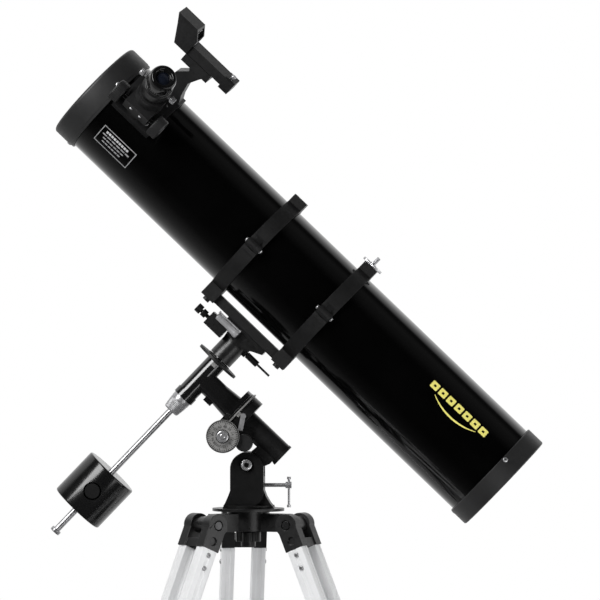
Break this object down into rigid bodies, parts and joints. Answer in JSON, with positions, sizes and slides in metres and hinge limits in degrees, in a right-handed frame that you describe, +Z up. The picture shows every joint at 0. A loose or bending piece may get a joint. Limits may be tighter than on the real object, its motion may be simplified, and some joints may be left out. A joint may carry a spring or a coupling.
{
  "type": "telescope on tripod",
  "caption": "Black Newtonian reflector telescope on an equatorial mount with counterweight, on a folding aluminium tripod with a tray.",
  "frame": {"origin": "centre of the overall box on the floor plane under the feet", "axes": "+Z up, +X towards the tube's rear end, +Y away from the focuser side, Z zero at the floor"},
  "size_m": [0.7386, 0.6036, 1.4478],
  "materials": {
    "black_cast": "textured black enamel over cast metal",
    "black_gloss": "gloss black enamel",
    "black_plastic": "moulded black plastic, satin",
    "black_gloss_plastic": "polished black plastic",
    "chrome": "bright plated",
    "steel": "turned and polished",
    "aluminium": "clear anodised extrusion",
    "iron_black": "black enamelled iron",
    "brass": "cut brass",
    "mirror": "aluminised glass",
    "glass": "coated window"
  },
  "bodies": {
    "tripod_head": {"tripod_head": "black_cast", "leg_pivot_bolts": "steel"},
    "azimuth_knob": {"azimuth_knob": "black_plastic"},
    "leg_left": {"leg_left_knuckle": "black_plastic", "leg_left_rails": "aluminium", "leg_left_clamp": "black_plastic"},
    "leg_left_lower": {"leg_left_extension": "aluminium"},
    "leg_left_screw": {"leg_left_knob": "black_plastic"},
    "leg_right": {"leg_right_knuckle": "black_plastic", "leg_right_rails": "aluminium", "leg_right_clamp": "black_plastic"},
    "leg_right_lower": {"leg_right_extension": "aluminium"},
    "leg_right_screw": {"leg_right_knob": "black_plastic"},
    "leg_rear": {"leg_rear_knuckle": "black_plastic", "leg_rear_rails": "aluminium", "leg_rear_clamp": "black_plastic"},
    "leg_rear_lower": {"leg_rear_extension": "aluminium"},
    "leg_rear_screw": {"leg_rear_knob": "black_plastic"},
    "brace": {"brace_tray": "black_plastic"},
    "brace_arm_left": {"brace_arm_left": "black_plastic"},
    "brace_arm_right": {"brace_arm_right": "black_plastic"},
    "brace_arm_rear": {"brace_arm_rear": "black_plastic"},
    "mount_base": {"mount_base": "black_cast", "altitude_bolt": "chrome"},
    "polar_head": {"polar_housing": "black_cast"},
    "latitude_screw": {"latitude_screw": "chrome"},
    "ra_worm": {"ra_worm_knob": "aluminium"},
    "ra_wheel": {"ra_worm_wheel": "brass"},
    "ra_circle": {"ra_setting_circle": "aluminium"},
    "ra_lock": {"ra_lock_lever": "chrome"},
    "ra_clutch": {"ra_clutch_knob": "black_plastic"},
    "dec_head": {"dec_housing": "black_cast", "shaft_nut": "chrome", "counterweight_shaft": "steel"},
    "dec_circle": {"dec_setting_circle": "aluminium"},
    "dec_axis": {"dec_saddle": "black_cast", "mounting_bar": "black_cast", "ring_lower_halves": "black_cast"},
    "dec_slow_motion": {"dec_slow_motion": "chrome"},
    "dec_lock": {"dec_lock": "steel"},
    "counterweight": {"counterweight": "iron_black"},
    "weight_screw": {"weight_screw": "black_plastic"},
    "ring_front": {"ring_front_upper": "black_cast"},
    "ring_front_knob": {"ring_front_knob": "black_plastic"},
    "ring_rear": {"ring_rear_upper": "black_cast"},
    "ring_rear_knob": {"ring_rear_knob": "black_plastic"},
    "piggyback_screw": {"piggyback_screw": "chrome"},
    "tube": {"main_tube": "black_gloss", "front_ring": "black_plastic", "mirror_cell": "black_plastic", "primary_mirror": "mirror", "spider": "black_cast", "secondary_mirror": "mirror", "focuser_base": "black_plastic", "finder_bracket": "black_plastic", "finder_body": "black_plastic", "finder_window": "glass"},
    "drawtube": {"drawtube": "chrome"},
    "focus_knobs": {"focus_knobs": "black_plastic"},
    "eyepiece": {"eyepiece": "black_gloss_plastic"}
  },
  "joints": [
    {"name": "azimuth_knob_spin", "type": "hinge", "parent": "tripod_head", "child": "azimuth_knob", "pos_m": [-0.07141, -0.06749, 0.655], "axis": [0, 0, 1], "continuous": true},
    {"name": "leg_left_fold", "type": "hinge", "parent": "tripod_head", "child": "leg_left", "pos_m": [-0.13226, -0.11469, 0.6765], "axis": [0.6129, -0.7902, 0], "range_deg": [0, 20]},
    {"name": "leg_left_extend", "type": "slide", "parent": "leg_left", "child": "leg_left_lower", "axis": [-0.3011, -0.2336, -0.9245], "range_m": [0, 0.35]},
    {"name": "leg_left_screw_spin", "type": "hinge", "parent": "leg_left", "child": "leg_left_screw", "pos_m": [-0.3203, -0.26055, 0.15158], "axis": [-0.7305, -0.5667, 0.3811], "continuous": true},
    {"name": "leg_right_fold", "type": "hinge", "parent": "tripod_head", "child": "leg_right", "pos_m": [-0.00012, -0.09659, 0.6765], "axis": [0.3778, 0.9259, 0], "range_deg": [0, 20]},
    {"name": "leg_right_extend", "type": "slide", "parent": "leg_right", "child": "leg_right_lower", "axis": [0.3528, -0.144, -0.9245], "range_m": [0, 0.35]},
    {"name": "leg_right_screw_spin", "type": "hinge", "parent": "leg_right", "child": "leg_right_screw", "pos_m": [0.22022, -0.18651, 0.15158], "axis": [0.856, -0.3493, 0.3811], "continuous": true},
    {"name": "leg_rear_fold", "type": "hinge", "parent": "tripod_head", "child": "leg_rear", "pos_m": [-0.08186, 0.00879, 0.6765], "axis": [-0.9907, -0.1357, 0], "range_deg": [0, 20]},
    {"name": "leg_rear_extend", "type": "slide", "parent": "leg_rear", "child": "leg_rear_lower", "axis": [-0.0517, 0.3775, -0.9245], "range_m": [0, 0.35]},
    {"name": "leg_rear_screw_spin", "type": "hinge", "parent": "leg_rear", "child": "leg_rear_screw", "pos_m": [-0.11416, 0.24458, 0.15158], "axis": [-0.1255, 0.916, 0.3811], "continuous": true},
    {"name": "brace_slide", "type": "slide", "parent": "tripod_head", "child": "brace", "axis": [0, 0, 1], "range_m": [0, 0.07176]},
    {"name": "brace_arm_left_hinge", "type": "hinge", "parent": "brace", "child": "brace_arm_left", "pos_m": [-0.09117, -0.08282, 0.43624], "axis": [0.6129, -0.7902, 0], "range_deg": [0, 50.93]},
    {"name": "brace_arm_right_hinge", "type": "hinge", "parent": "brace", "child": "brace_arm_right", "pos_m": [-0.04827, -0.07694, 0.43624], "axis": [0.3778, 0.9259, 0], "range_deg": [0, 50.93]},
    {"name": "brace_arm_rear_hinge", "type": "hinge", "parent": "brace", "child": "brace_arm_rear", "pos_m": [-0.07481, -0.04272, 0.43624], "axis": [-0.9907, -0.1357, 0], "range_deg": [0, 50.93]},
    {"name": "azimuth", "type": "hinge", "parent": "tripod_head", "child": "mount_base", "pos_m": [-0.07141, -0.06749, 0.7], "axis": [0, 0, 1], "continuous": true},
    {"name": "latitude", "type": "hinge", "parent": "mount_base", "child": "polar_head", "pos_m": [-0.07261, -0.06749, 0.7654], "axis": [0, 1, 0], "range_deg": [-14, 18]},
    {"name": "latitude_screw_travel", "type": "slide", "parent": "mount_base", "child": "latitude_screw", "axis": [1, 0, 0], "range_m": [-0.0098, 0.0076]},
    {"name": "ra_worm_spin", "type": "hinge", "parent": "polar_head", "child": "ra_worm", "pos_m": [-0.1069, -0.11749, 0.80866], "axis": [0, 1, 0], "continuous": true},
    {"name": "ra_wheel_turn", "type": "hinge", "parent": "polar_head", "child": "ra_wheel", "pos_m": [-0.07924, -0.06749, 0.83548], "axis": [0.7218, 0, -0.6921], "continuous": true},
    {"name": "ra_circle_turn", "type": "hinge", "parent": "polar_head", "child": "ra_circle", "pos_m": [-0.08668, -0.06749, 0.8426], "axis": [0.7218, 0, -0.6921], "continuous": true},
    {"name": "ra_lock_turn", "type": "hinge", "parent": "polar_head", "child": "ra_lock", "pos_m": [-0.07683, -0.10749, 0.83871], "axis": [0, 1, 0], "range_deg": [-40, 40]},
    {"name": "ra_clutch_spin", "type": "hinge", "parent": "polar_head", "child": "ra_clutch", "pos_m": [-0.07564, -0.10749, 0.79877], "axis": [0, 1, 0], "continuous": true},
    {"name": "right_ascension", "type": "hinge", "parent": "polar_head", "child": "dec_head", "pos_m": [-0.14131, -0.06749, 0.895], "axis": [0.7218, 0, -0.6921], "range_deg": [-90, 40]},
    {"name": "dec_circle_turn", "type": "hinge", "parent": "dec_head", "child": "dec_circle", "pos_m": [-0.11743, -0.06749, 0.9199], "axis": [0.6921, 0, 0.7218], "continuous": true},
    {"name": "declination", "type": "hinge", "parent": "dec_head", "child": "dec_axis", "pos_m": [-0.11363, -0.06749, 0.92387], "axis": [0.6921, 0, 0.7218], "continuous": true},
    {"name": "dec_slow_motion_spin", "type": "hinge", "parent": "dec_axis", "child": "dec_slow_motion", "pos_m": [-0.1377, -0.07549, 0.99268], "axis": [0.7218, 0, -0.6921], "continuous": true},
    {"name": "dec_lock_spin", "type": "hinge", "parent": "dec_axis", "child": "dec_lock", "pos_m": [-0.06261, -0.06749, 0.91928], "axis": [0.7218, 0, -0.6921], "continuous": true},
    {"name": "counterweight_slide", "type": "slide", "parent": "dec_head", "child": "counterweight", "axis": [0.6921, 0, 0.7218], "range_m": [-0.042, 0.12]},
    {"name": "weight_screw_spin", "type": "hinge", "parent": "counterweight", "child": "weight_screw", "pos_m": [-0.30293, -0.10349, 0.72647], "axis": [0, 1, 0], "continuous": true},
    {"name": "ring_front_open", "type": "hinge", "parent": "dec_axis", "child": "ring_front", "pos_m": [-0.05846, -0.15949, 1.09265], "axis": [0.7218, 0, -0.6921], "range_deg": [0, 100]},
    {"name": "ring_front_knob_spin", "type": "hinge", "parent": "ring_front", "child": "ring_front_knob", "pos_m": [-0.04462, 0.02951, 1.10708], "axis": [0.6921, 0, 0.7218], "continuous": true},
    {"name": "ring_rear_open", "type": "hinge", "parent": "dec_axis", "child": "ring_rear", "pos_m": [0.04619, -0.15949, 0.99229], "axis": [0.7218, 0, -0.6921], "range_deg": [0, 100]},
    {"name": "ring_rear_knob_spin", "type": "hinge", "parent": "ring_rear", "child": "ring_rear_knob", "pos_m": [0.06004, 0.02951, 1.00672], "axis": [0.6921, 0, 0.7218], "continuous": true},
    {"name": "piggyback_screw_spin", "type": "hinge", "parent": "ring_rear", "child": "piggyback_screw", "pos_m": [0.11541, -0.06749, 1.06446], "axis": [0.6921, 0, 0.7218], "continuous": true},
    {"name": "tube_rotation", "type": "hinge", "parent": "dec_axis", "child": "tube", "pos_m": [-0.00288, -0.06749, 1.03935], "axis": [0.7218, 0, -0.6921], "continuous": true},
    {"name": "focus_travel", "type": "slide", "parent": "tube", "child": "drawtube", "axis": [0.3142, -0.891, 0.3277], "range_m": [-0.009, 0.03]},
    {"name": "focus_knob_turn", "type": "hinge", "parent": "tube", "child": "focus_knobs", "pos_m": [-0.22843, -0.17462, 1.29394], "axis": [0.7218, 0, -0.6921], "range_deg": [-106, 352]},
    {"name": "eyepiece_pull", "type": "slide", "parent": "drawtube", "child": "eyepiece", "axis": [0.3142, -0.891, 0.3277], "range_m": [0, 0.04]}
  ],
  "couplings": [
    {"joint": "leg_right_fold", "follows": "leg_left_fold", "ratio": 1},
    {"joint": "leg_rear_fold", "follows": "leg_left_fold", "ratio": 1},
    {"joint": "brace_slide", "follows": "leg_left_fold", "m_per_rad": 0.20555},
    {"joint": "brace_arm_left_hinge", "follows": "leg_left_fold", "ratio": 2.546},
    {"joint": "brace_arm_right_hinge", "follows": "leg_left_fold", "ratio": 2.546},
    {"joint": "brace_arm_rear_hinge", "follows": "leg_left_fold", "ratio": 2.546},
    {"joint": "latitude_screw_travel", "follows": "latitude", "m_per_rad": -0.0309},
    {"joint": "ra_wheel_turn", "follows": "ra_worm_spin", "ratio": 0.01},
    {"joint": "focus_knob_turn", "follows": "focus_travel", "rad_per_m": 204.08}
  ]
}
